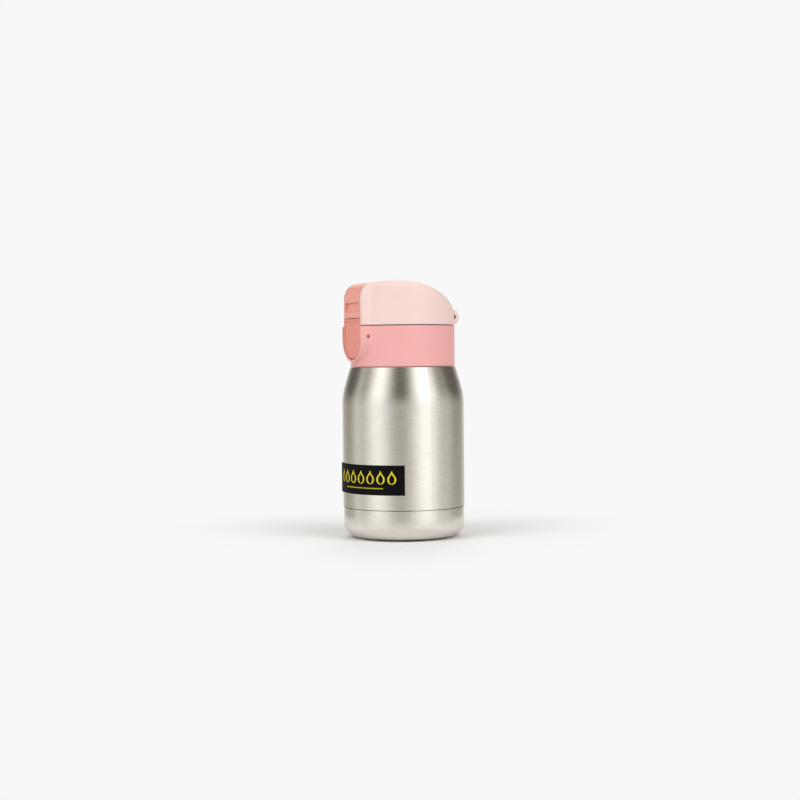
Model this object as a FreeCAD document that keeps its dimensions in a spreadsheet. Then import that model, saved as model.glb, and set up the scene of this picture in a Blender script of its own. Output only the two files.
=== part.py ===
"""A child's vacuum-insulated drinking bottle: screw-on collar, sprung flip lid, push button and lock.

Frame: millimetres, +Z up, origin on the floor at the centre of the foot. The push button faces -Y and the
lid's hinge is on the +Y side, with its pin along X.
"""

import FreeCAD, Part
import math
import os
import re

import Sketcher
from FreeCAD import Placement, Rotation, Vector

# Driving dimensions: alias, value, meaning.
SIZES = [
    ("body_radius", 33.0, "outside radius of the steel bottle"),
    ("steel", 0.6, "thickness of every sheet-steel wall"),
    ("seam_height", 16.5, "height of the seam between the shell and the base cup"),
    ("cup_radius", 32.65, "outside radius of the base cup"),
    ("cup_corner", 6.5, "bottom corner radius of the base cup"),
    ("seam_gap", 0.44, "width of the groove at the seam"),
    ("plate_low", 4.6, "lowest face of the dished closing plate"),
    ("foot_recess", 1.2, "depth of the recess that holds the foot"),
    ("closure_height", 8.4, "bottom edge of the outer shell, inside the base cup"),
    ("vessel_low", 10.0, "underside of the inner vessel"),
    ("foot_gap", 0.5, "height of the steel above the floor"),
    ("foot_radius", 24.7, "radius of the silicone foot"),
    ("shoulder_low", 76.6, "height where the shoulder leaves the straight wall"),
    ("shoulder_inset", 2.62, "how far the shoulder has come in where it steepens"),
    ("ledge_inset", 4.4, "how far the shoulder has come in at the ledge"),
    ("shoulder_high", 86.4, "height where the shoulder steepens"),
    ("ledge_height", 91.9, "height of the ledge under the collar"),
    ("neck_radius", 20.5, "outside radius of the threaded neck"),
    ("neck_top", 105.5, "top of the outer neck"),
    ("mouth_radius", 18.3, "inside radius of the mouth"),
    ("vacuum_gap", 2.4, "gap between the outer shell and the inner vessel"),
    ("pitch", 4.0, "pitch of the neck thread"),
    ("ridge", 1.0, "height of a thread ridge"),
    ("collar_radius", 28.2, "outside radius of the collar and lid"),
    ("collar_low", 92.05, "bottom of the collar"),
    ("collar_high", 113.8, "top of the collar"),
    ("thread_bore", 21.8, "inside radius of the collar's threaded skirt"),
    ("deck_low", 110.2, "underside of the collar's deck"),
    ("deck_high", 112.2, "top of the collar's deck"),
    ("spout_hole", 11.9, "radius of the hole in the deck"),
    ("boss_front", 30.3, "distance from the axis to the front of the collar's boss"),
    ("boss_half", 12.3, "half width of the collar's boss"),
    ("button_front", 30.1, "distance from the axis to the front of the button"),
    ("button_half", 10.5, "half width of the button"),
    ("button_arc", 107.1, "height of the centre of the button's round end"),
    ("button_high", 117.85, "top of the button"),
    ("button_axis", 26.8, "distance from the axis to the button's pin"),
    ("button_pin_height", 108.2, "height of the button's pin"),
    ("lid_low", 114.3, "bottom edge of the lid cover"),
    ("lid_high", 137.6, "highest point of the lid"),
    ("lid_arc", 56.0, "radius of the lid's top in side view"),
    ("lid_peak", 14.4, "distance of the lid's highest point in front of the axis"),
    ("lid_front", 29.95, "distance from the axis to the front of the lid"),
    ("lid_boss_half", 12.0, "half width of the lid's front boss"),
    ("lid_rounding", 3.6, "radius of the lid cover's outer edges"),
    ("lid_wall", 1.8, "wall thickness of the lid cover"),
    ("hinge_axis", 23.8, "distance from the axis to the lid's hinge pin"),
    ("hinge_height", 118.6, "height of the lid's hinge pin"),
    ("knuckle", 4.4, "radius of the hinge knuckles"),
    ("channel_half", 10.5, "half width of the lid's front channel"),
    ("lock_low", 118.1, "bottom edge of the lock"),
    ("lock_axis", 25.0, "distance from the axis to the lock's pin"),
    ("lock_height", 131.0, "height of the lock's pin"),
    ("flare", 2.0, "radius where the front boss runs into the round wall"),
    ("pin_radius", 1.0, "radius of the button's pin"),
    ("hinge_pin_radius", 1.25, "radius of the lid's hinge pin"),
    ("label_low", 24.7, "bottom edge of the label"),
    ("label_height", 15.8, "height of the label"),
    ("slope", 20, "angle of the boss's flanks to straight ahead"),
]

doc = FreeCAD.newDocument("vacuum_bottle")
sheet = doc.addObject("Spreadsheet::Sheet", "Sizes")
for row, (alias, value, meaning) in enumerate(SIZES, start=1):
    sheet.set(f"A{row}", alias)
    sheet.set(f"B{row}", str(value))
    sheet.set(f"C{row}", meaning)
    sheet.setAlias(f"B{row}", alias)
doc.recompute()

ALIASES = {alias for alias, _, _ in SIZES}
subparts = []

# Where the three pins cross the YZ plane.
HINGE = ("hinge_axis", "hinge_height")
BUTTON_PIVOT = ("-button_axis", "button_pin_height")
LOCK_PIVOT = ("-lock_axis", "lock_height")


def formula(text):
    """An expression on the sheet's cells, from a formula that names them without the sheet."""
    return re.sub(r"[a-z_]+", lambda m: "Sizes." + m[0] if m[0] in ALIASES else m[0], str(text))


def number(text):
    """The present value of a formula."""
    return float(sheet.evalExpression(formula(text)))


def bind(thing, **formulas):
    """Bind properties of an object to formulas on the sheet; double underscores stand for dots."""
    for name, text in formulas.items():
        thing.setExpression(name.replace("__", "."), formula(text))
    return thing


def named(thing, label):
    """Register an object as the finished sub-part with this name."""
    thing.Label = label
    subparts.append(thing)
    return thing


def vertex_list(corners):
    """The present points of a profile, from its corners."""
    return [Vector(number(c[0]), number(c[1]), 0) for c in corners]


def sketch_on(body, role, offset):
    """An empty sketch on one of the body's planes, moved along the plane's normal."""
    sketch = body.newObject("Sketcher::SketchObject", "profile")
    origin_plane = next(f for f in body.Origin.OriginFeatures if f.Role == role)
    sketch.AttachmentSupport = [(origin_plane, "")]
    sketch.MapMode = "FlatFace"
    sketch.setExpression("AttachmentOffset.Base.z", formula(offset))
    return sketch


def fixed(sketch, kind, *rest):
    """Add a dimension whose last value is a formula, and bind it to the sheet."""
    index = sketch.addConstraint(Sketcher.Constraint(kind, *rest[:-1], number(rest[-1])))
    if not re.fullmatch(r"[-0-9.]+", str(rest[-1])):
        sketch.setExpression(f"Constraints[{index}]", formula(rest[-1]))


def tongue(body, half, centre, top, offset):
    """A closed sketch on the XZ plane: an upright slot with a round lower end and a flat top."""
    sketch = sketch_on(body, "XZ_Plane", offset)
    h, c, t = number(half), number(centre), number(top)
    sketch.addGeometry(Part.LineSegment(Vector(-h, t, 0), Vector(-h, c, 0)), False)
    circle = Part.Circle(Vector(0, c, 0), Vector(0, 0, 1), h)
    sketch.addGeometry(Part.ArcOfCircle(circle, math.pi, 2 * math.pi), False)
    sketch.addGeometry(Part.LineSegment(Vector(h, c, 0), Vector(h, t, 0)), False)
    sketch.addGeometry(Part.LineSegment(Vector(h, t, 0), Vector(-h, t, 0)), False)
    for first, end, second, start in ((0, 2, 1, 1), (1, 2, 2, 1), (2, 2, 3, 1), (3, 2, 0, 1)):
        sketch.addConstraint(Sketcher.Constraint("Coincident", first, end, second, start))
    sketch.addConstraint(Sketcher.Constraint("Vertical", 0))
    sketch.addConstraint(Sketcher.Constraint("Vertical", 2))
    sketch.addConstraint(Sketcher.Constraint("Horizontal", 3))
    sketch.addConstraint(Sketcher.Constraint("PointOnObject", 1, 3, -2))
    sketch.addConstraint(Sketcher.Constraint("Horizontal", 1, 1, 1, 3))
    sketch.addConstraint(Sketcher.Constraint("Horizontal", 1, 2, 1, 3))
    fixed(sketch, "Radius", 1, half)
    fixed(sketch, "DistanceY", -1, 1, 1, 3, centre)
    fixed(sketch, "DistanceY", -1, 1, 2, 2, top)
    return sketch


def profile(body, role, corners, offset="0"):
    """A closed sketch of straight lines on one of the body's planes; a corner's third value rounds it."""
    sketch = sketch_on(body, role, offset)
    points = vertex_list(corners)
    count = len(points)
    for i in range(count):
        sketch.addGeometry(Part.LineSegment(points[i], points[(i + 1) % count]), False)
    for i in range(count):
        sketch.addConstraint(Sketcher.Constraint("Coincident", i, 2, (i + 1) % count, 1))
    for i, corner in enumerate(corners):
        fixed(sketch, "DistanceX", -1, 1, i, 1, corner[0])
        fixed(sketch, "DistanceY", -1, 1, i, 1, corner[1])
    for i, corner in enumerate(corners):
        if len(corner) > 2:
            before = sketch.GeometryCount
            ahead = points[(i + 1) % count]
            sketch.fillet((i - 1) % count, i, points[i - 1], ahead, number(corner[2]), True, True)
            added = range(before, sketch.GeometryCount)
            arc = next(g for g in added if hasattr(sketch.Geometry[g], "Radius"))
            fixed(sketch, "Radius", arc, corner[2])
    return sketch


def turned(label, corners):
    """A body turned about the bottle's axis from a profile of (radius, height) corners."""
    body = doc.addObject("PartDesign::Body", label)
    sketch = profile(body, "XZ_Plane", corners)
    turn = body.newObject("PartDesign::Revolution", "turn")
    turn.Profile = sketch
    turn.ReferenceAxis = (sketch, ["V_Axis"])
    turn.Angle = 360
    return named(body, label)


def padded(body, sketch, length, both=False, reverse=False, taper="0"):
    """Add a straight extrusion of a sketch to a body."""
    pad = body.newObject("PartDesign::Pad", "pad")
    pad.Profile = sketch
    pad.setExpression("Length", formula(length))
    pad.Midplane = both
    pad.Reversed = reverse
    pad.setExpression("TaperAngle", formula(taper))
    return pad


def pocketed(body, sketch, length, both=False, reverse=False):
    """Cut a straight extrusion of a sketch from a body."""
    pocket = body.newObject("PartDesign::Pocket", "pocket")
    pocket.Profile = sketch
    pocket.setExpression("Length", formula(length))
    pocket.Midplane = both
    pocket.Reversed = reverse
    return pocket


def disc(body, role, x, y, radius, offset="0"):
    """A circle sketched on one of the body's planes."""
    sketch = sketch_on(body, role, offset)
    sketch.addGeometry(Part.Circle(Vector(number(x), number(y), 0), Vector(0, 0, 1), number(radius)), False)
    fixed(sketch, "DistanceX", -1, 1, 0, 3, x)
    fixed(sketch, "DistanceY", -1, 1, 0, 3, y)
    fixed(sketch, "Radius", 0, radius)
    return sketch


def block(body, x_low, x_high, y_low, y_high, offset="lid_low - 1"):
    """A rectangle sketched on a level plane."""
    corners = [(x_low, y_low), (x_high, y_low), (x_high, y_high), (x_low, y_high)]
    return profile(body, "XY_Plane", corners, offset)


def thread(body, root, crest, low, turns, half_foot=0.95, half_crest=0.4):
    """Add a helical ridge about the bottle's axis, with its start in the +X half of the XZ plane."""
    helix = body.newObject("PartDesign::AdditiveHelix", "thread")
    helix.Profile = profile(body, "XZ_Plane", [
        (root, f"{low} - {half_foot}"),
        (crest, f"{low} - {half_crest}"),
        (crest, f"{low} + {half_crest}"),
        (root, f"{low} + {half_foot}"),
    ])
    helix.ReferenceAxis = (helix.Profile[0], ["V_Axis"])
    helix.Mode = "pitch-turns-angle"
    helix.setExpression("Pitch", formula("pitch"))
    helix.Turns = turns
    helix.LeftHanded = False
    return helix


def rounded(body, radius, wanted):
    """Round the edges of a body's last feature for which wanted(edge) holds."""
    doc.recompute()
    tip = body.Group[-1]
    names = [f"Edge{i}" for i, edge in enumerate(tip.Shape.Edges, start=1) if wanted(edge)]
    fillet = body.newObject("PartDesign::Fillet", "fillet")
    fillet.Base = (tip, names)
    fillet.setExpression("Radius", formula(radius))
    return fillet


def edge_points(edge):
    """Five points spread along an edge."""
    span = edge.LastParameter - edge.FirstParameter
    return [edge.valueAt(edge.FirstParameter + span * part) for part in (0, 0.25, 0.5, 0.75, 1)]


def is_flare(edge):
    """Whether an edge is where a flank of the front boss meets the round wall."""
    points = edge_points(edge)
    on_wall = all(abs(math.hypot(p.x, p.y) - number("collar_radius")) < 0.05 for p in points)
    flat = max(p.z for p in points) - min(p.z for p in points) < 0.01
    return on_wall and points[2].y < -10 and not flat


def is_outer_rim(edge):
    """Whether an edge bounds the outside of the collar at its bottom or round the front of its boss."""
    points = edge_points(edge)
    outside = all(math.hypot(p.x, p.y) > number("collar_radius") - 0.01 for p in points)
    at_foot = all(abs(p.z - number("collar_low")) < 0.01 for p in points)
    in_front = all(abs(p.y + number("boss_front")) < 0.01 for p in points)
    return in_front and points[2].z < number("collar_high") - 0.01 or outside and at_foot


def is_lid_edge(edge):
    """Whether an edge of the solid lid is rounded: its top outline and the front corners of its boss."""
    points = edge_points(edge)
    across = max(p.x for p in points) - min(p.x for p in points) > 20 and max(p.y for p in points) < -20
    at_foot = max(p.z for p in points) < number("lid_low") + 0.01
    upright = max(abs(p.x - points[0].x) + abs(p.y - points[0].y) for p in points) < 0.01
    corner = upright and points[0].y < -number("lid_front") + 0.01
    return not at_foot and not across and (corner or not upright)


def bored(body, pivot, radius, length):
    """Bore a hole along X through the middle of a body."""
    return pocketed(body, disc(body, "YZ_Plane", *pivot, radius), length, both=True)


def crosswise(label, pivot, radius, length):
    """A pin along X, made as its own body."""
    body = doc.addObject("PartDesign::Body", label)
    padded(body, disc(body, "YZ_Plane", *pivot, radius), length, both=True)
    return named(body, label)


def coil(label, radius, wire, pitch, turns, centre, direction, legs):
    """A round-wire spring about an axis, with straight legs given as (start, direction, length)."""
    helix = doc.addObject("Part::Helix", label + "_path")
    bind(helix, Radius=radius, Pitch=pitch, Height=f"({pitch}) * {turns}")
    circle = doc.addObject("Part::Circle", label + "_wire")
    bind(circle, Radius=wire)
    circle.Placement = Placement(Vector(number(radius), 0, 0), Rotation(Vector(1, 0, 0), 90))
    sweep = doc.addObject("Part::Sweep", label + "_sweep")
    sweep.Sections = [circle]
    sweep.Spine = (helix, ["Edge1"])
    sweep.Solid = True
    sweep.Frenet = True
    pieces = [sweep]
    for start, heading, length in legs:
        leg = doc.addObject("Part::Cylinder", label + "_leg")
        bind(leg, Radius=wire, Height=length)
        leg.Placement = Placement(Vector(*start), Rotation(Vector(0, 0, 1), Vector(*heading)))
        pieces.append(leg)
    joined = sweep
    if legs:
        joined = doc.addObject("Part::MultiFuse", label)
        joined.Shapes = pieces
    joined.Placement = Placement(Vector(*centre), Rotation(Vector(0, 0, 1), Vector(*direction)))
    return named(joined, label)


def under_arc(body, inset="0"):
    """Cut away all that lies above the lid's arched top and brow, or above the same line set inwards."""
    radius = f"(lid_arc - {inset})"
    centre = "(lid_high - lid_arc)"
    tangents = f"{radius} / cos(29.1)"
    brow_run = f"(lid_front - {inset} - lid_peak - {radius} * sin(8))"
    pocketed(body, profile(body, "YZ_Plane", [
        (f"-lid_front + {inset}", "125"),
        (f"-lid_front + {inset}", f"{centre} + {radius} * cos(8) - {brow_run} * tan(8)", f"8.5 - {inset}"),
        (f"-lid_peak + {tangents} * sin(21.1)", f"{centre} + {tangents} * cos(21.1)", radius),
        (f"-lid_peak + {radius} * sin(50.2) + 8", f"{centre} + {radius} * cos(50.2) - 8 * tan(50.2)"),
        ("45", "175"),
        ("-45", "175"),
        ("-45", "125"),
    ]), "90", both=True)


# ---- Steel bottle ----

shell = turned("outer_shell", [
    ("body_radius", "seam_height + seam_gap / 2"),
    ("body_radius", "shoulder_low", 35),
    ("body_radius - shoulder_inset", "shoulder_high", 120),
    ("body_radius - ledge_inset", "ledge_height", 0.3),
    ("neck_radius", "ledge_height", 1.5),
    ("neck_radius", "neck_top"),
    ("neck_radius - steel", "neck_top"),
    ("neck_radius - steel", "ledge_height - steel", 2.1),
    ("body_radius - ledge_inset - steel", "ledge_height - steel"),
    ("body_radius - shoulder_inset - steel", "shoulder_high", 70),
    ("body_radius - steel", "shoulder_low", 34.4),
    ("body_radius - steel", "seam_height + 0.7"),
    ("cup_radius - 2*steel - 0.1", "seam_height"),
    ("cup_radius - 2*steel - 0.1", "closure_height"),
    ("cup_radius - steel - 0.1", "closure_height"),
    ("cup_radius - steel - 0.1", "seam_height - 0.15"),
])
thread(shell, "neck_radius - 0.1", "neck_radius + ridge", "96", 1.5)

turned("inner_vessel", [
    ("0.001", "vessel_low"),
    ("body_radius - steel - vacuum_gap", "vessel_low", 8),
    ("body_radius - steel - vacuum_gap", "ledge_height - 9", 9),
    ("mouth_radius + steel", "ledge_height - 3", 4),
    ("mouth_radius + steel", "neck_top"),
    ("neck_radius", "neck_top"),
    ("neck_radius", "neck_top + steel"),
    ("mouth_radius", "neck_top + steel", 0.6),
    ("mouth_radius", "ledge_height - 3.3", 4.6),
    ("body_radius - 2*steel - vacuum_gap", "ledge_height - 9.2", 8.4),
    ("body_radius - 2*steel - vacuum_gap", "vessel_low + steel", 7.4),
    ("0.001", "vessel_low + steel"),
])
turned("vacuum_bottom_plate", [
    ("0.001", "plate_low"),
    ("20", "plate_low"),
    ("25", "closure_height"),
    ("cup_radius - 2*steel - 0.11", "closure_height"),
    ("cup_radius - 2*steel - 0.11", "closure_height + steel"),
    ("24.8", "closure_height + steel"),
    ("19.8", "plate_low + steel"),
    ("0.001", "plate_low + steel"),
])
turned("getter", [
    ("0.001", "plate_low + steel + 0.01"),
    ("4", "plate_low + steel + 0.01"),
    ("4", "plate_low + 2.2", 0.3),
    ("0.001", "plate_low + 2.2"),
])
turned("base_cup", [
    ("foot_radius + 0.1", "foot_gap"),
    ("cup_radius", "foot_gap", "cup_corner"),
    ("cup_radius", "seam_height - seam_gap / 2"),
    ("cup_radius - steel", "seam_height - seam_gap / 2"),
    ("cup_radius - steel", "foot_gap + steel", "cup_corner - steel"),
    ("foot_radius + 0.1 + steel", "foot_gap + steel"),
    ("foot_radius + 0.1 + steel", "foot_gap + foot_recess + steel"),
    ("0.001", "foot_gap + foot_recess + steel"),
    ("0.001", "foot_gap + foot_recess"),
    ("foot_radius + 0.1", "foot_gap + foot_recess"),
])
turned("foot_pad", [
    ("0.001", "0"),
    ("foot_radius - 0.6", "0"),
    ("foot_radius", "0.6"),
    ("foot_radius", "foot_gap + foot_recess - 0.01"),
    ("0.001", "foot_gap + foot_recess - 0.01"),
])

# ---- Collar: screws on the neck and carries the spout, the button and the hinge ----

collar = turned("collar", [
    ("collar_radius", "collar_low"),
    ("collar_radius", "collar_high"),
    ("collar_radius - 1.6", "collar_high"),
    ("collar_radius - 1.6", "deck_high"),
    ("spout_hole", "deck_high"),
    ("spout_hole", "deck_low"),
    ("thread_bore", "deck_low"),
    ("thread_bore", "collar_low + 1.7"),
    ("thread_bore + 2", "collar_low + 1.7"),
    ("thread_bore + 2", "deck_low - 1"),
    ("collar_radius - 1.9", "deck_low - 1"),
    ("collar_radius - 1.9", "collar_low"),
])
boss_sketch = tongue(collar, "boss_half", "button_arc", "collar_high", "boss_front")
padded(collar, boss_sketch, "boss_front - thread_bore - 0.8", reverse=True, taper="slope")
pocketed(collar, block(collar, "-40", "40", "-40", "0", "collar_high + 10"), "10")
pocketed(collar, block(collar, "-40", "40", "-40", "0", "collar_low"), "10")
rounded(collar, "flare", is_flare)
rounded(collar, "0.4", is_outer_rim)
seat_sketch = tongue(collar, "button_half + 0.4", "button_arc - 0.3", "collar_high + 1", "boss_front + 1")
pocketed(collar, seat_sketch, "boss_front + 1 - 24.2")
padded(collar, profile(collar, "YZ_Plane", [
    ("-24.2", "collar_high - 1.7"),
    ("-24.2", "120.2"),
    ("-25.6", "120.2"),
    ("-25.6", "120.8"),
    ("-25.1", "121.6"),
    ("-22.6", "121.6"),
    ("-22.6", "collar_high - 1.7"),
]), "6", both=True)
padded(collar, profile(collar, "YZ_Plane", [
    ("hinge_axis - knuckle + 0.1", "deck_high - 0.2"),
    ("hinge_axis - knuckle + 0.1", "hinge_height + knuckle - 0.1", "knuckle - 0.11"),
    ("hinge_axis + knuckle - 0.1", "hinge_height + knuckle - 0.1", "knuckle - 0.11"),
    ("hinge_axis + knuckle - 0.1", "collar_high - 1"),
    ("hinge_axis + 2.6", "deck_high - 0.2"),
]), "13.2", both=True)
pocketed(collar, profile(collar, "YZ_Plane", [
    ("hinge_axis - knuckle - 1", "hinge_height - 2.7"),
    ("hinge_axis - knuckle - 1", "hinge_height + knuckle + 1"),
    ("hinge_axis + knuckle + 1", "hinge_height + knuckle + 1"),
    ("hinge_axis + knuckle + 1", "hinge_height - 2.7"),
]), "7.2", both=True)
bored(collar, HINGE, "hinge_pin_radius + 0.01", "14")
bored(collar, BUTTON_PIVOT, "pin_radius + 0.02", "40")
thread(collar, "thread_bore + 0.2", "thread_bore - ridge + 0.1", "98", 1.5)

# ---- Seal, spout and pins, carried by the collar ----

turned("neck_seal", [
    ("mouth_radius - 0.6", "neck_top + steel + 0.05", 0.3),
    ("neck_radius + 0.3", "neck_top + steel + 0.05", 0.3),
    ("neck_radius + 0.3", "deck_low - 2.15", 0.3),
    ("mouth_radius - 0.6", "deck_low - 2.15", 0.3),
])
turned("spout", [
    ("neck_radius + 0.3", "deck_low - 2.1"),
    ("neck_radius + 0.3", "deck_low - 0.05"),
    ("11.5", "deck_low - 0.05"),
    ("11.5", "deck_high + 2.4"),
    ("9.6", "125.4", 3),
    ("8.9", "126.3", 0.5),
    ("6.5", "126.3", 0.7),
    ("6.9", "119"),
    ("9.6", "deck_high", 3),
    ("9.6", "deck_low - 1.8"),
    ("mouth_radius - 1.9", "deck_low - 1.8"),
    ("mouth_radius - 1.9", "103"),
    ("mouth_radius - 0.7", "103"),
    ("mouth_radius - 0.7", "deck_low - 2.1"),
])
turned("spout_o_ring", [
    ("11.55", "deck_high + 0.02", 0.5),
    ("13.7", "deck_high + 0.02", 0.5),
    ("13.7", "deck_high + 1.8", 0.5),
    ("11.55", "deck_high + 1.8", 0.5),
])


hinge_pin = crosswise("hinge_pin", HINGE, "hinge_pin_radius", "26.4")
button_pin = crosswise("button_pin", BUTTON_PIVOT, "pin_radius", "25.2")
lock_pin = crosswise("lock_pin", LOCK_PIVOT, "pin_radius - 0.01", "2 * channel_half + 2")
for pin in (hinge_pin, button_pin, lock_pin):
    rounded(pin, "0.25", lambda e: isinstance(e.Curve, Part.Circle))


# ---- Push button ----

button = doc.addObject("PartDesign::Body", "push_button")
button_face = tongue(button, "button_half", "button_arc", "button_high", "button_front")
padded(button, button_face, "2.2", reverse=True)
rounded(button, "0.5", lambda e: all(abs(p.y + number("button_front")) < 0.01 for p in edge_points(e)))
recess = tongue(button, "button_half - 1.4", "button_arc", "button_high - 1.5", "button_front")
pocketed(button, recess, "0.4")
padded(button, profile(button, "XZ_Plane", [
    ("-8.5", "button_high - 1.55"),
    ("-8.5", "button_high"),
    ("8.5", "button_high"),
    ("8.5", "button_high - 1.55"),
], "button_front - 1"), "button_front - 1 - 23.9", reverse=True)
pocketed(button, profile(button, "XZ_Plane", [
    ("-4.5", "button_high - 3"),
    ("-4.5", "button_high + 1"),
    ("4.5", "button_high + 1"),
    ("4.5", "button_high - 3"),
], "button_front - 2.3"), "6")
padded(button, profile(button, "YZ_Plane", [
    ("-button_front + 1.2", "button_pin_height - 3"),
    ("-button_front + 1.2", "button_pin_height + 3"),
    ("-button_axis + 0.2", "button_pin_height + 1.75", 1.5),
    ("-button_axis + 1.75", "button_pin_height", 1.0),
    ("-button_axis + 0.2", "button_pin_height - 1.75", 1.5),
]), "2 * button_half - 0.4", both=True)
bored(button, BUTTON_PIVOT, "pin_radius + 0.05", "30")
named(button, "push_button")

# ---- Safety lock ----

lock = doc.addObject("PartDesign::Body", "safety_lock")
padded(lock, profile(lock, "YZ_Plane", [
    ("-lid_front + 0.1", "lock_low"),
    ("-lid_front + 0.1", "135.8", 8.5),
    ("-18.6", "137.25"),
    ("-16.9", "131.2"),
    ("-18.4", "128.6", 2),
    ("-22.6", "130.4", 2),
    ("-23.2", "133.6", 1.2),
    ("-lid_front + 2.6", "132.6", 3),
    ("-lid_front + 2.6", "lock_low"),
]), "2 * channel_half - 0.3", both=True)
pocketed(lock, profile(lock, "YZ_Plane", [
    ("-lid_front - 1", "121"),
    ("-lid_front + 0.9", "121.6"),
    ("-lid_front + 1.9", "126.2"),
    ("-lid_front - 1", "126.7"),
]), "2 * channel_half - 3.6", both=True)
padded(lock, profile(lock, "YZ_Plane", [
    ("-lid_front + 2.1", "118.6"),
    ("-lid_front + 2.1", "121"),
    ("-lid_front + 2.9", "120"),
    ("-24.6", "120"),
    ("-24.6", "119.3"),
    ("-25.2", "118.6"),
]), "5.2", both=True)
padded(lock, profile(lock, "YZ_Plane", [
    ("-lid_front + 2", "127.5"),
    ("-lid_front + 2", "134.4"),
    ("-23", "134.4"),
    ("-22.8", "131", 1.5),
    ("-24.4", "128.6", 1.5),
]), "2 * channel_half - 0.3", both=True)
bored(lock, LOCK_PIVOT, "pin_radius + 0.05", "30")
named(lock, "safety_lock")

# ---- Springs ----

hinge_centre = (-2.6, number("hinge_axis"), number("hinge_height"))
coil("hinge_spring", "2.2", "0.4", "0.86", 6, hinge_centre, (1, 0, 0), [
    ((2.2, 0, 0), (0, -1, 0), 5),
    ((2.2, 0, 5.16), (0, 1, 0), 3.6),
])
button_back = (0, 2.55 - number("button_front"), 101.6)
coil("button_spring", "1.9", "0.3", "0.9", 3, button_back, (0, 1, 0), [])

# ---- Lid cover ----

form = doc.addObject("PartDesign::Body", "cover_form")
padded(form, disc(form, "XY_Plane", "0", "0", "collar_radius", "lid_low"), "45")
padded(form, profile(form, "XY_Plane", [
    ("-lid_boss_half", "-lid_front"),
    ("lid_boss_half", "-lid_front"),
    ("lid_boss_half + 12 * tan(slope)", "-lid_front + 12"),
    ("-lid_boss_half - 12 * tan(slope)", "-lid_front + 12"),
], "lid_low"), "45")
rounded(form, "flare", is_flare)
under_arc(form)
doc.recompute()
shaped = doc.addObject("Part::Fillet", "cover_rounding")
shaped.Base = form
wall = number("lid_rounding")
shaped.Edges = [(i, wall, wall) for i, edge in enumerate(form.Shape.Edges, start=1) if is_lid_edge(edge)]
doc.recompute()
hollow = doc.addObject("PartDesign::Body", "cover_hollow")
padded(hollow, disc(hollow, "XY_Plane", "0", "0", "collar_radius - lid_wall", "lid_low - 1"), "45")
under_arc(hollow, "lid_wall")
channel_wall = "channel_half + 1.5"
pocketed(hollow, block(hollow, f"-({channel_wall})", channel_wall, "-40", "-15.1", "lid_low + 50"), "60")
pocketed(hollow, block(hollow, "-15.6", "15.6", "16.8", "40", "lid_low + 50"), "60")
shell_cut = doc.addObject("Part::Cut", "cover_shell")
shell_cut.Base = shaped
shell_cut.Tool = hollow
doc.recompute()
cover = doc.addObject("PartDesign::Body", "lid_cover")
cover.BaseFeature = shell_cut
pocketed(cover, block(cover, "-channel_half", "channel_half", "-40", "-16.5", "lid_low + 50"), "60")
padded(cover, profile(cover, "YZ_Plane", [
    ("-24.8", "114.5"),
    ("-24.8", "116.1"),
    ("-23.5", "116.1"),
    ("-23.5", "118"),
    ("-21.9", "118"),
    ("-21.9", "114.5"),
]), "2 * channel_half + 0.4", both=True)
pocketed(cover, block(cover, "-4", "4", "-25", "-21", "119"), "6")
pocketed(cover, block(cover, "-15.6", "15.6", "hinge_axis", "40", "lid_low + 50"), "60")
ears = profile(cover, "XY_Plane", [
    ("-14.7", "0"),
    ("-14.7", "knuckle + 0.1", 3.4),
    ("14.7", "knuckle + 0.1", 3.4),
    ("14.7", "0"),
], "hinge_height")
ears.setExpression("AttachmentOffset.Base.y", formula("hinge_axis"))
ear_turn = cover.newObject("PartDesign::Revolution", "ears")
ear_turn.Profile = ears
ear_turn.ReferenceAxis = (ears, ["H_Axis"])
ear_turn.Angle = 360
pocketed(cover, block(cover, "-6.9", "6.9", "18.6", "40", "lid_low + 50"), "60")
bored(cover, HINGE, "hinge_pin_radius + 0.07", "29.6")
bored(cover, LOCK_PIVOT, "pin_radius", "2 * channel_half + 2.2")
named(cover, "lid_cover")

# ---- Lid liner, stopper and label ----

liner = turned("lid_liner", [
    ("12.8", "lid_low - 0.2", 0.3),
    ("14.1", "lid_low - 0.2", 0.3),
    ("14.1", "lid_low + 30"),
    ("12.8", "lid_low + 30"),
    ("12.8", "129.4"),
    ("0.001", "129.4"),
    ("0.001", "128.2"),
    ("12.8", "128.2"),
])
under_arc(liner, "(lid_wall + 0.05)")
turned("spout_stopper", [
    ("0.001", "125.3"),
    ("5.2", "125.3"),
    ("6", "126.4"),
    ("9.5", "126.4", 0.4),
    ("9.5", "128.15"),
    ("0.001", "128.15"),
])
label_body = doc.addObject("PartDesign::Body", "label")
wrap = label_body.newObject("PartDesign::Revolution", "wrap")
wrap.Profile = profile(label_body, "XZ_Plane", [
    ("body_radius + 0.02", "label_low"),
    ("body_radius + 0.15", "label_low"),
    ("body_radius + 0.15", "label_low + label_height"),
    ("body_radius + 0.02", "label_low + label_height"),
])
wrap.ReferenceAxis = (wrap.Profile[0], ["V_Axis"])
wrap.Angle = 76.5
loose_end = block(label_body, "body_radius + 0.02", "body_radius + 0.15", "-5.8", "0", "label_low")
padded(label_body, loose_end, "label_height")
label_body.Placement = Placement(Vector(0, 0, 0), Rotation(Vector(0, 0, 1), -101.5))
named(label_body, "label")
doc.recompute()


# ---- Checks and export ----

os.makedirs("parts", exist_ok=True)
for thing in doc.Objects:
    bad = [state for state in thing.State if state not in ("Up-to-date",)]
    if bad:
        raise RuntimeError(f"{thing.Label} is {bad}")
for part in subparts:
    shape = part.Shape
    if shape.isNull() or not shape.isValid() or len(shape.Solids) != 1:
        raise RuntimeError(f"{part.Label} is not one valid solid")
    shape.exportStep(f"parts/{part.Label}.step")
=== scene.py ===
"""Looks and stage for the vacuum drinking bottle: brushed steel, plastics, printed label, studio light."""

import math

import bpy
from mathutils import Matrix, Vector

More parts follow.
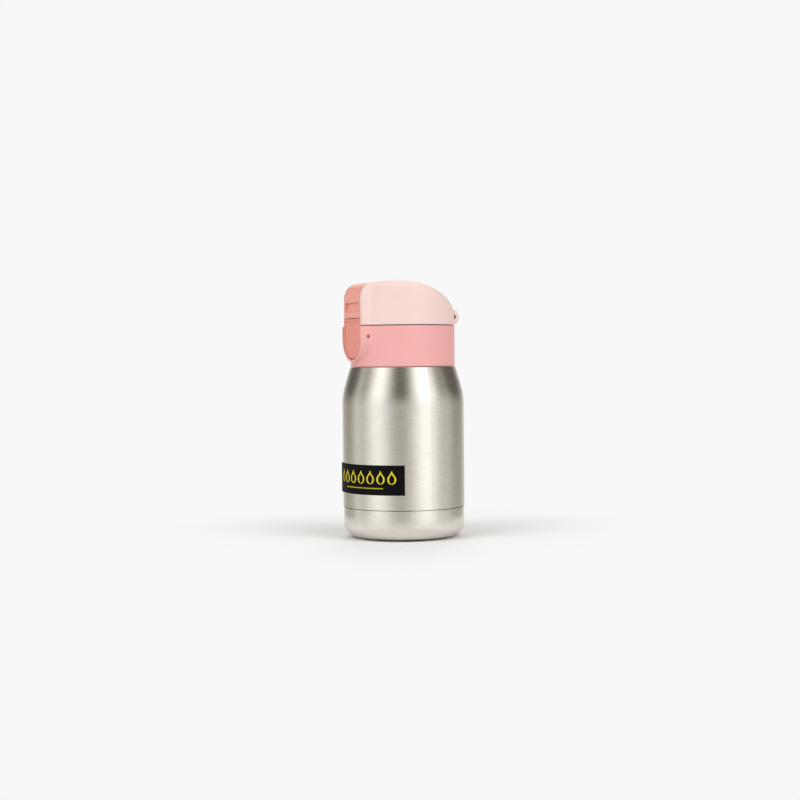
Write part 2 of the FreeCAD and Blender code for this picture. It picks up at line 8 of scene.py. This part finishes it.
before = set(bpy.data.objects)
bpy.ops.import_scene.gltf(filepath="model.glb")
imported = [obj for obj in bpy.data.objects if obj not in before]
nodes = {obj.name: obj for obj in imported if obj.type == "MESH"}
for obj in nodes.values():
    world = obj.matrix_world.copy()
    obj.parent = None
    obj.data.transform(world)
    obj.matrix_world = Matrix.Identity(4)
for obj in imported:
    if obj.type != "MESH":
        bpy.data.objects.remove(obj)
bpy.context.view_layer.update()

# ---- Shader helpers ----


class Shader:
    """A material's node tree with short ways to add and join nodes."""

    def __init__(self, tree):
        self.tree = tree
        self.tree.nodes.clear()

    def add(self, kind, inputs=(), **settings):
        """A new node; inputs maps a socket's name or number to a value or to another node's output."""
        node = self.tree.nodes.new(kind)
        for name, value in settings.items():
            setattr(node, name, value)
        for key, value in dict(inputs).items():
            if isinstance(value, bpy.types.NodeSocket):
                self.tree.links.new(value, node.inputs[key])
            else:
                node.inputs[key].default_value = value
        return node

    def math(self, operation, *values):
        """The output of a maths node."""
        node = self.add("ShaderNodeMath", enumerate(values), operation=operation)
        return node.outputs[0]

    def ramp(self, value, low, high, start=0.0, end=1.0):
        """A smooth step of a value from start to end as it goes from low to high."""
        node = self.add("ShaderNodeMapRange", {0: value, 1: low, 2: high, 3: start, 4: end})
        node.interpolation_type = "SMOOTHSTEP"
        return node.outputs[0]

    def stretch(self, value, start=0.0, end=1.0):
        """Noise, which mostly lies between 0.3 and 0.7, stretched to run from start to end."""
        return self.ramp(value, 0.3, 0.7, start, end)

    def mix(self, factor, first, second):
        """A colour mixed from two."""
        node = self.add("ShaderNodeMix", {0: factor, 6: first, 7: second}, data_type="RGBA")
        return node.outputs[2]

    def position(self):
        """The x, y and z of the shaded point in the bottle's own frame, in metres."""
        coords = self.add("ShaderNodeTexCoord").outputs["Object"]
        return self.add("ShaderNodeSeparateXYZ", {0: coords}).outputs

    def vector(self, x, y, z):
        """A vector from three numbers."""
        return self.add("ShaderNodeCombineXYZ", {0: x, 1: y, 2: z}).outputs[0]

    def noise(self, vector, scale, detail=2.0):
        """Noise between 0 and 1."""
        return self.add("ShaderNodeTexNoise", {"Vector": vector, "Scale": scale, "Detail": detail}).outputs[0]

    def rounded_normal(self, radius):
        """A normal that rounds off edges."""
        return self.add("ShaderNodeBevel", {"Radius": radius}, samples=6).outputs[0]

    def bump(self, height, strength, normal):
        """A normal bent by a height, taken in millimetres."""
        inputs = {"Height": height, "Strength": strength, "Distance": 0.001, "Normal": normal}
        return self.add("ShaderNodeBump", inputs).outputs[0]

    def finish(self, surface):
        """Make a shader the material's surface."""
        self.add("ShaderNodeOutputMaterial", {"Surface": surface})


def srgb(red, green, blue):
    """A linear colour from 0-255 display values."""

    def linear(value):
        value /= 255
        return value / 12.92 if value <= 0.04045 else ((value + 0.055) / 1.055) ** 2.4

    return (linear(red), linear(green), linear(blue), 1.0)


def toned(colour, factor):
    """A colour with its red, green and blue scaled, each at most 1."""
    return tuple(min(1.0, part * factor) for part in colour[:3]) + (1.0,)


def material(name):
    """A new node material and its shader helper."""
    made = bpy.data.materials.new(name)
    made.use_nodes = True
    return made, Shader(made.node_tree)


# Brushing marks: their length is set by how little they change with the angle, their width by the scale.
FINE_STRETCH, FINE_SCALE = 0.0012, 4200.0
COARSE_STRETCH, COARSE_SCALE = 0.002, 1900.0
COARSE_OFFSET = 0.3
CLOUD_SCALE = 70.0


def brushed_steel(name, colour, roughness, grain):
    """Steel brushed round the bottle's axis."""
    made, s = material(name)
    x, y, z = s.position()
    angle = s.math("ARCTAN2", y, x)
    fine = s.noise(s.vector(s.math("MULTIPLY", angle, FINE_STRETCH), 0.0, z), FINE_SCALE)
    coarse = s.noise(s.vector(s.math("MULTIPLY", angle, COARSE_STRETCH), COARSE_OFFSET, z), COARSE_SCALE)
    cloud = s.noise(s.vector(x, y, z), CLOUD_SCALE, 3.0)
    lines = s.math("ADD", s.math("MULTIPLY", fine, 0.8), s.math("MULTIPLY", coarse, 0.2))
    tone = s.stretch(s.math("ADD", s.math("MULTIPLY", lines, 0.8), s.math("MULTIPLY", cloud, 0.2)))
    tangent = s.add("ShaderNodeTangent", direction_type="RADIAL", axis="Z").outputs[0]
    bsdf = s.add("ShaderNodeBsdfPrincipled", {
        "Base Color": s.mix(tone, toned(colour, 1 - grain), toned(colour, 1 + grain)),
        "Metallic": 1.0,
        "Roughness": s.ramp(lines, 0.25, 0.75, roughness * 0.85, roughness * 1.15),
        "Anisotropic": 0.7,
        "Tangent": tangent,
    })
    s.finish(bsdf.outputs[0])
    return made


EDGE_RADIUS = 0.0004
MOTTLE = 0.03


def plastic(name, colour, roughness=0.42, depth=0.25):
    """Moulded plastic or silicone with faint mottling and soft edges; depth is how far light gets in."""
    made, s = material(name)
    x, y, z = s.position()
    place = s.vector(x, y, z)
    cloud = s.noise(place, 60.0, 3.0)
    bsdf = s.add("ShaderNodeBsdfPrincipled", {
        "Base Color": s.mix(s.stretch(cloud), toned(colour, 1 - MOTTLE), colour),
        "Roughness": s.stretch(cloud, roughness * 0.93, roughness * 1.07),
        "Subsurface Weight": depth,
        "Subsurface Radius": (1.0, 0.45, 0.35),
        "Subsurface Scale": 0.0015,
        "Normal": s.bump(s.noise(place, 2600.0), 0.02, s.rounded_normal(EDGE_RADIUS)),
    })
    s.finish(bsdf.outputs[0])
    return made


def wire(name):
    """Bright drawn wire, slightly browned."""
    made, s = material(name)
    x, y, z = s.position()
    tone = s.noise(s.vector(x, y, z), 900.0)
    bsdf = s.add("ShaderNodeBsdfPrincipled", {
        "Base Color": s.mix(tone, srgb(120, 108, 100), srgb(190, 182, 176)),
        "Metallic": 1.0,
        "Roughness": 0.3,
    })
    s.finish(bsdf.outputs[0])
    return made


# The printed mark, in metres: a row of outlined drops over a thin broken rule. The phase sets where the
# row's drops fall, in pitches, and is large enough to keep the sum above zero.
LABEL_RADIUS = 0.0331
MARK_MIDDLE = 0.0120
DROP_PHASE = 50.5
DROP_PITCH = 0.0062
DROP_ROW_HALF = 0.0217
DROP_CENTRE = 0.0329
DROP_RADIUS = 0.00235
DROP_NECK = 0.0004
DROP_TIP = 0.0046
DROP_TIP_HALF = 0.0002
DROP_LINE = 0.0009
RULE_HEIGHT = 0.0283
RULE_HALF = 0.00028
RULE_ROW_HALF = 0.0140
DASH_STEP = 0.0008
DASH_HALF = 0.0005


def printed_label(name):
    """A black wrap with a plain yellow mark: a row of drops over a thin broken rule."""
    made, s = material(name)
    x, y, z = s.position()
    turn = s.math("ARCTAN2", x, s.math("MULTIPLY", y, -1.0))
    along = s.math("SUBTRACT", s.math("MULTIPLY", turn, LABEL_RADIUS), MARK_MIDDLE)

    # Each drop is half a disc below its neck and a point above it.
    cell = s.math("PINGPONG", s.math("ADD", along, DROP_PITCH * DROP_PHASE), DROP_PITCH / 2)
    side = s.math("SUBTRACT", DROP_PITCH / 2, cell)
    rise = s.math("SUBTRACT", z, DROP_CENTRE)
    point = s.ramp(rise, DROP_NECK, DROP_TIP, DROP_RADIUS, DROP_TIP_HALF)
    left_over = s.math("SUBTRACT", DROP_RADIUS ** 2, s.math("MULTIPLY", rise, rise))
    disc = s.math("SQRT", s.math("MAXIMUM", left_over, 0.0))
    lower = s.math("LESS_THAN", rise, DROP_NECK)
    upper = s.math("SUBTRACT", 1.0, lower)
    width = s.math("ADD", s.math("MULTIPLY", lower, disc), s.math("MULTIPLY", upper, point))
    filled = s.math("MULTIPLY", s.math("LESS_THAN", side, width), s.math("LESS_THAN", rise, DROP_TIP))
    hollow = s.math("LESS_THAN", side, s.math("SUBTRACT", width, DROP_LINE))
    outline = s.math("MULTIPLY", filled, s.math("SUBTRACT", 1.0, hollow))
    in_row = s.math("LESS_THAN", s.math("ABSOLUTE", along), DROP_ROW_HALF)
    drops = s.math("MULTIPLY", outline, in_row)

    level = s.math("ABSOLUTE", s.math("SUBTRACT", z, RULE_HEIGHT))
    dashes = s.math("LESS_THAN", s.math("PINGPONG", along, DASH_STEP), DASH_HALF)
    on_rule = s.math("MULTIPLY", s.math("LESS_THAN", level, RULE_HALF), dashes)
    rule = s.math("MULTIPLY", on_rule, s.math("LESS_THAN", s.math("ABSOLUTE", along), RULE_ROW_HALF))
    bsdf = s.add("ShaderNodeBsdfPrincipled", {
        "Base Color": s.mix(s.math("MAXIMUM", drops, rule), srgb(5, 5, 6), srgb(222, 206, 40)),
        "Roughness": s.stretch(s.noise(s.vector(x, y, z), 900.0), 0.52, 0.66),
        "Specular IOR Level": 0.12,
    })
    s.finish(bsdf.outputs[0])
    return made


STEEL = brushed_steel("brushed_steel", srgb(227, 223, 215), 0.20, 0.07)
LOOKS = {
    "outer_shell": STEEL,
    "base_cup": STEEL,
    "inner_vessel": STEEL,
    "vacuum_bottom_plate": STEEL,
    "getter": plastic("getter", srgb(90, 85, 80), 0.8, depth=0.0),
    # The foot pad is silicone, and its near-black colour is also painted shade: it stands in for the dark
    # contact shadow line under the base.
    "foot_pad": plastic("foot_silicone", srgb(52, 52, 54), 0.6, depth=0.0),
    "label": printed_label("label_print"),
    "collar": plastic("collar_pink", srgb(238, 174, 172)),
    "lid_cover": plastic("cover_pink", srgb(240, 212, 208)),
    "push_button": plastic("button_coral", srgb(238, 155, 142)),
    "safety_lock": plastic("lock_coral", srgb(245, 172, 159)),
    "neck_seal": plastic("seal_silicone", srgb(236, 232, 226), 0.35, depth=0.6),
    "spout_o_ring": plastic("ring_silicone", srgb(236, 232, 226), 0.35, depth=0.6),
    "spout_stopper": plastic("stopper_silicone", srgb(238, 233, 228), 0.35, depth=0.6),
    "spout": plastic("spout_plastic", srgb(244, 236, 230), 0.3),
    "lid_liner": plastic("liner_plastic", srgb(246, 232, 227), 0.35),
}
WIRE = wire("drawn_wire")
for name, node in nodes.items():
    node.data.materials.clear()
    node.data.materials.append(LOOKS.get(name, WIRE))

# ---- Stage ----


def area_light(name, place, target, width, watts):
    """A square soft light at a place, facing a target and unseen in reflections."""
    data = bpy.data.lights.new(name, "AREA")
    data.shape = "SQUARE"
    data.size = width
    data.energy = watts
    light = bpy.data.objects.new(name, data)
    light.location = place
    light.visible_glossy = False
    light.rotation_euler = (Vector(target) - Vector(place)).to_track_quat("-Z", "Y").to_euler()
    bpy.context.collection.objects.link(light)


# Directions on the floor, from the bottle towards the camera and towards the picture's right.
VIEW_ANGLE = math.radians(64)
TO_CAMERA = Vector((math.sin(VIEW_ANGLE), -math.cos(VIEW_ANGLE), 0))
TO_RIGHT = Vector((math.cos(VIEW_ANGLE), math.sin(VIEW_ANGLE), 0))


def around(degrees, distance, height):
    """A place at an angle to the camera's side, positive towards the picture's right."""
    a = math.radians(degrees)
    return TO_CAMERA * math.cos(a) * distance + TO_RIGHT * math.sin(a) * distance + Vector((0, 0, height))


area_light("key_left", around(-50, 1.1, 0.75), (0, 0, 0.08), 0.7, 4)
area_light("key_right", around(50, 1.1, 0.7), (0, 0, 0.08), 0.7, 3.5)
area_light("top", (0, 0, 1.4), (0, 0, 0), 1.2, 5)


BACKDROP = srgb(248, 248, 248)

# The studio as the steel reflects it: bright bands, each an angle from the camera's side and a spread in
# degrees and a gain, on a base level. Contrast and middle go from their low to their high value with height.
BANDS = ((-98, 12, 0.34), (-50, 26, 0.80), (43, 27, 0.98), (92, 13, 0.20), (178, 26, 0.80))
BAND_BASE = 0.30
BAND_PIVOT = 0.70
LOW, HIGH = -0.28, 0.48
CONTRAST = (0.70, 2.2)
MIDDLE = (0.82, 0.68)
DIMMEST, BRIGHTEST = 0.12, 1.7
ROOF_FROM, ROOF_TO, ROOF_GAIN = 0.60, 0.95, 0.6


def build_world():
    """A bright studio: white behind for the camera, broad bright and dim bands all round for reflections."""
    world = bpy.data.worlds.new("studio")
    bpy.context.scene.world = world
    world.use_nodes = True
    s = Shader(world.node_tree)
    direction = s.add("ShaderNodeTexCoord").outputs["Generated"]
    x, y, z = s.add("ShaderNodeSeparateXYZ", {0: direction}).outputs
    toward = s.math("ADD", s.math("MULTIPLY", x, TO_CAMERA.x), s.math("MULTIPLY", y, TO_CAMERA.y))
    right = s.math("ADD", s.math("MULTIPLY", x, TO_RIGHT.x), s.math("MULTIPLY", y, TO_RIGHT.y))
    angle = s.math("ARCTAN2", right, toward)
    level = BAND_BASE
    for centre, spread, gain in BANDS:
        turn = s.math("WRAP", s.math("SUBTRACT", angle, math.radians(centre)), math.pi, -math.pi)
        offset = s.math("DIVIDE", turn, math.radians(spread))
        bell = s.math("EXPONENT", s.math("MULTIPLY", s.math("MULTIPLY", offset, offset), -1.0))
        level = s.math("ADD", level, s.math("MULTIPLY", bell, gain))
    contrast = s.ramp(z, LOW, HIGH, *CONTRAST)
    middle = s.ramp(z, LOW, HIGH, *MIDDLE)
    roof = s.ramp(z, ROOF_FROM, ROOF_TO, 1.0, ROOF_GAIN)
    swing = s.math("MULTIPLY", s.math("SUBTRACT", level, BAND_PIVOT), contrast)
    lit = s.math("MINIMUM", s.math("MAXIMUM", s.math("ADD", swing, middle), DIMMEST), BRIGHTEST)
    brightness = s.math("MULTIPLY", lit, roof)
    # Dim parts of the studio are a little warmer than bright ones.
    green = s.math("MULTIPLY", brightness, s.ramp(brightness, 0.2, 1.0, 0.95, 1.0))
    blue = s.math("MULTIPLY", brightness, s.ramp(brightness, 0.2, 1.0, 0.82, 0.99))
    tint = s.vector(brightness, green, blue)
    studio = s.add("ShaderNodeBackground", {"Color": tint, "Strength": 1.0}).outputs[0]
    white = s.add("ShaderNodeBackground", {"Color": BACKDROP, "Strength": 1.0}).outputs[0]
    seen = s.add("ShaderNodeLightPath").outputs["Is Camera Ray"]
    mixed = s.add("ShaderNodeMixShader", {0: seen, 1: studio, 2: white}).outputs[0]
    s.add("ShaderNodeOutputWorld", {"Surface": mixed})


# The floor lies just under the foot, so that the two faces don't coincide.
FLOOR_SIZE = 6
FLOOR_DROP = 0.0002
FADE_FROM, FADE_TO = 0.028, 0.17
BOUNCE_RADIUS = 0.12


def build_floor():
    """A pale floor that melts into the white backdrop, and that only the camera sees away from the bottle."""
    bpy.ops.mesh.primitive_plane_add(size=FLOOR_SIZE, location=(0, 0, -FLOOR_DROP))
    floor = bpy.context.object
    floor.name = "floor"
    made, s = material("pale_floor")
    x, y = s.position()[:2]
    away = s.math("SQRT", s.math("ADD", s.math("MULTIPLY", x, x), s.math("MULTIPLY", y, y)))
    fade = s.ramp(away, FADE_FROM, FADE_TO)
    surface = s.add("ShaderNodeBsdfDiffuse", {"Color": srgb(246, 246, 246)}).outputs[0]
    glow = s.add("ShaderNodeEmission", {"Color": BACKDROP, "Strength": 1.0}).outputs[0]
    shown = s.add("ShaderNodeMixShader", {0: fade, 1: surface, 2: glow}).outputs[0]
    seen = s.add("ShaderNodeLightPath").outputs["Is Camera Ray"]
    hidden = s.math("MULTIPLY", s.math("GREATER_THAN", away, BOUNCE_RADIUS), s.math("SUBTRACT", 1.0, seen))
    clear = s.add("ShaderNodeBsdfTransparent").outputs[0]
    s.finish(s.add("ShaderNodeMixShader", {0: hidden, 1: shown, 2: clear}).outputs[0])
    floor.data.materials.append(made)


SENSOR_WIDTH = 36
LENS = 67.5
EYE_DISTANCE, EYE_HEIGHT = 0.815, 0.0966
PITCH, YAW, ROLL = math.radians(-1.6), math.radians(0.118), math.radians(-0.55)


def build_camera():
    """The camera, looking slightly down on the bottle from its front right."""
    data = bpy.data.cameras.new("camera")
    data.sensor_width = SENSOR_WIDTH
    data.lens = LENS
    camera = bpy.data.objects.new("camera", data)
    bpy.context.collection.objects.link(camera)
    bpy.context.scene.camera = camera
    eye = TO_CAMERA * EYE_DISTANCE + Vector((0, 0, EYE_HEIGHT))
    level_aim = -TO_CAMERA * math.cos(YAW) - TO_RIGHT * math.sin(YAW)
    aim = level_aim * math.cos(PITCH) + Vector((0, 0, math.sin(PITCH)))
    facing = aim.to_track_quat("-Z", "Y").to_matrix().to_4x4()
    camera.matrix_world = Matrix.Translation(eye) @ facing @ Matrix.Rotation(ROLL, 4, "Z")


build_world()
build_floor()
build_camera()
bpy.context.scene.view_settings.view_transform = "Standard"
bpy.context.scene.view_settings.look = "None"
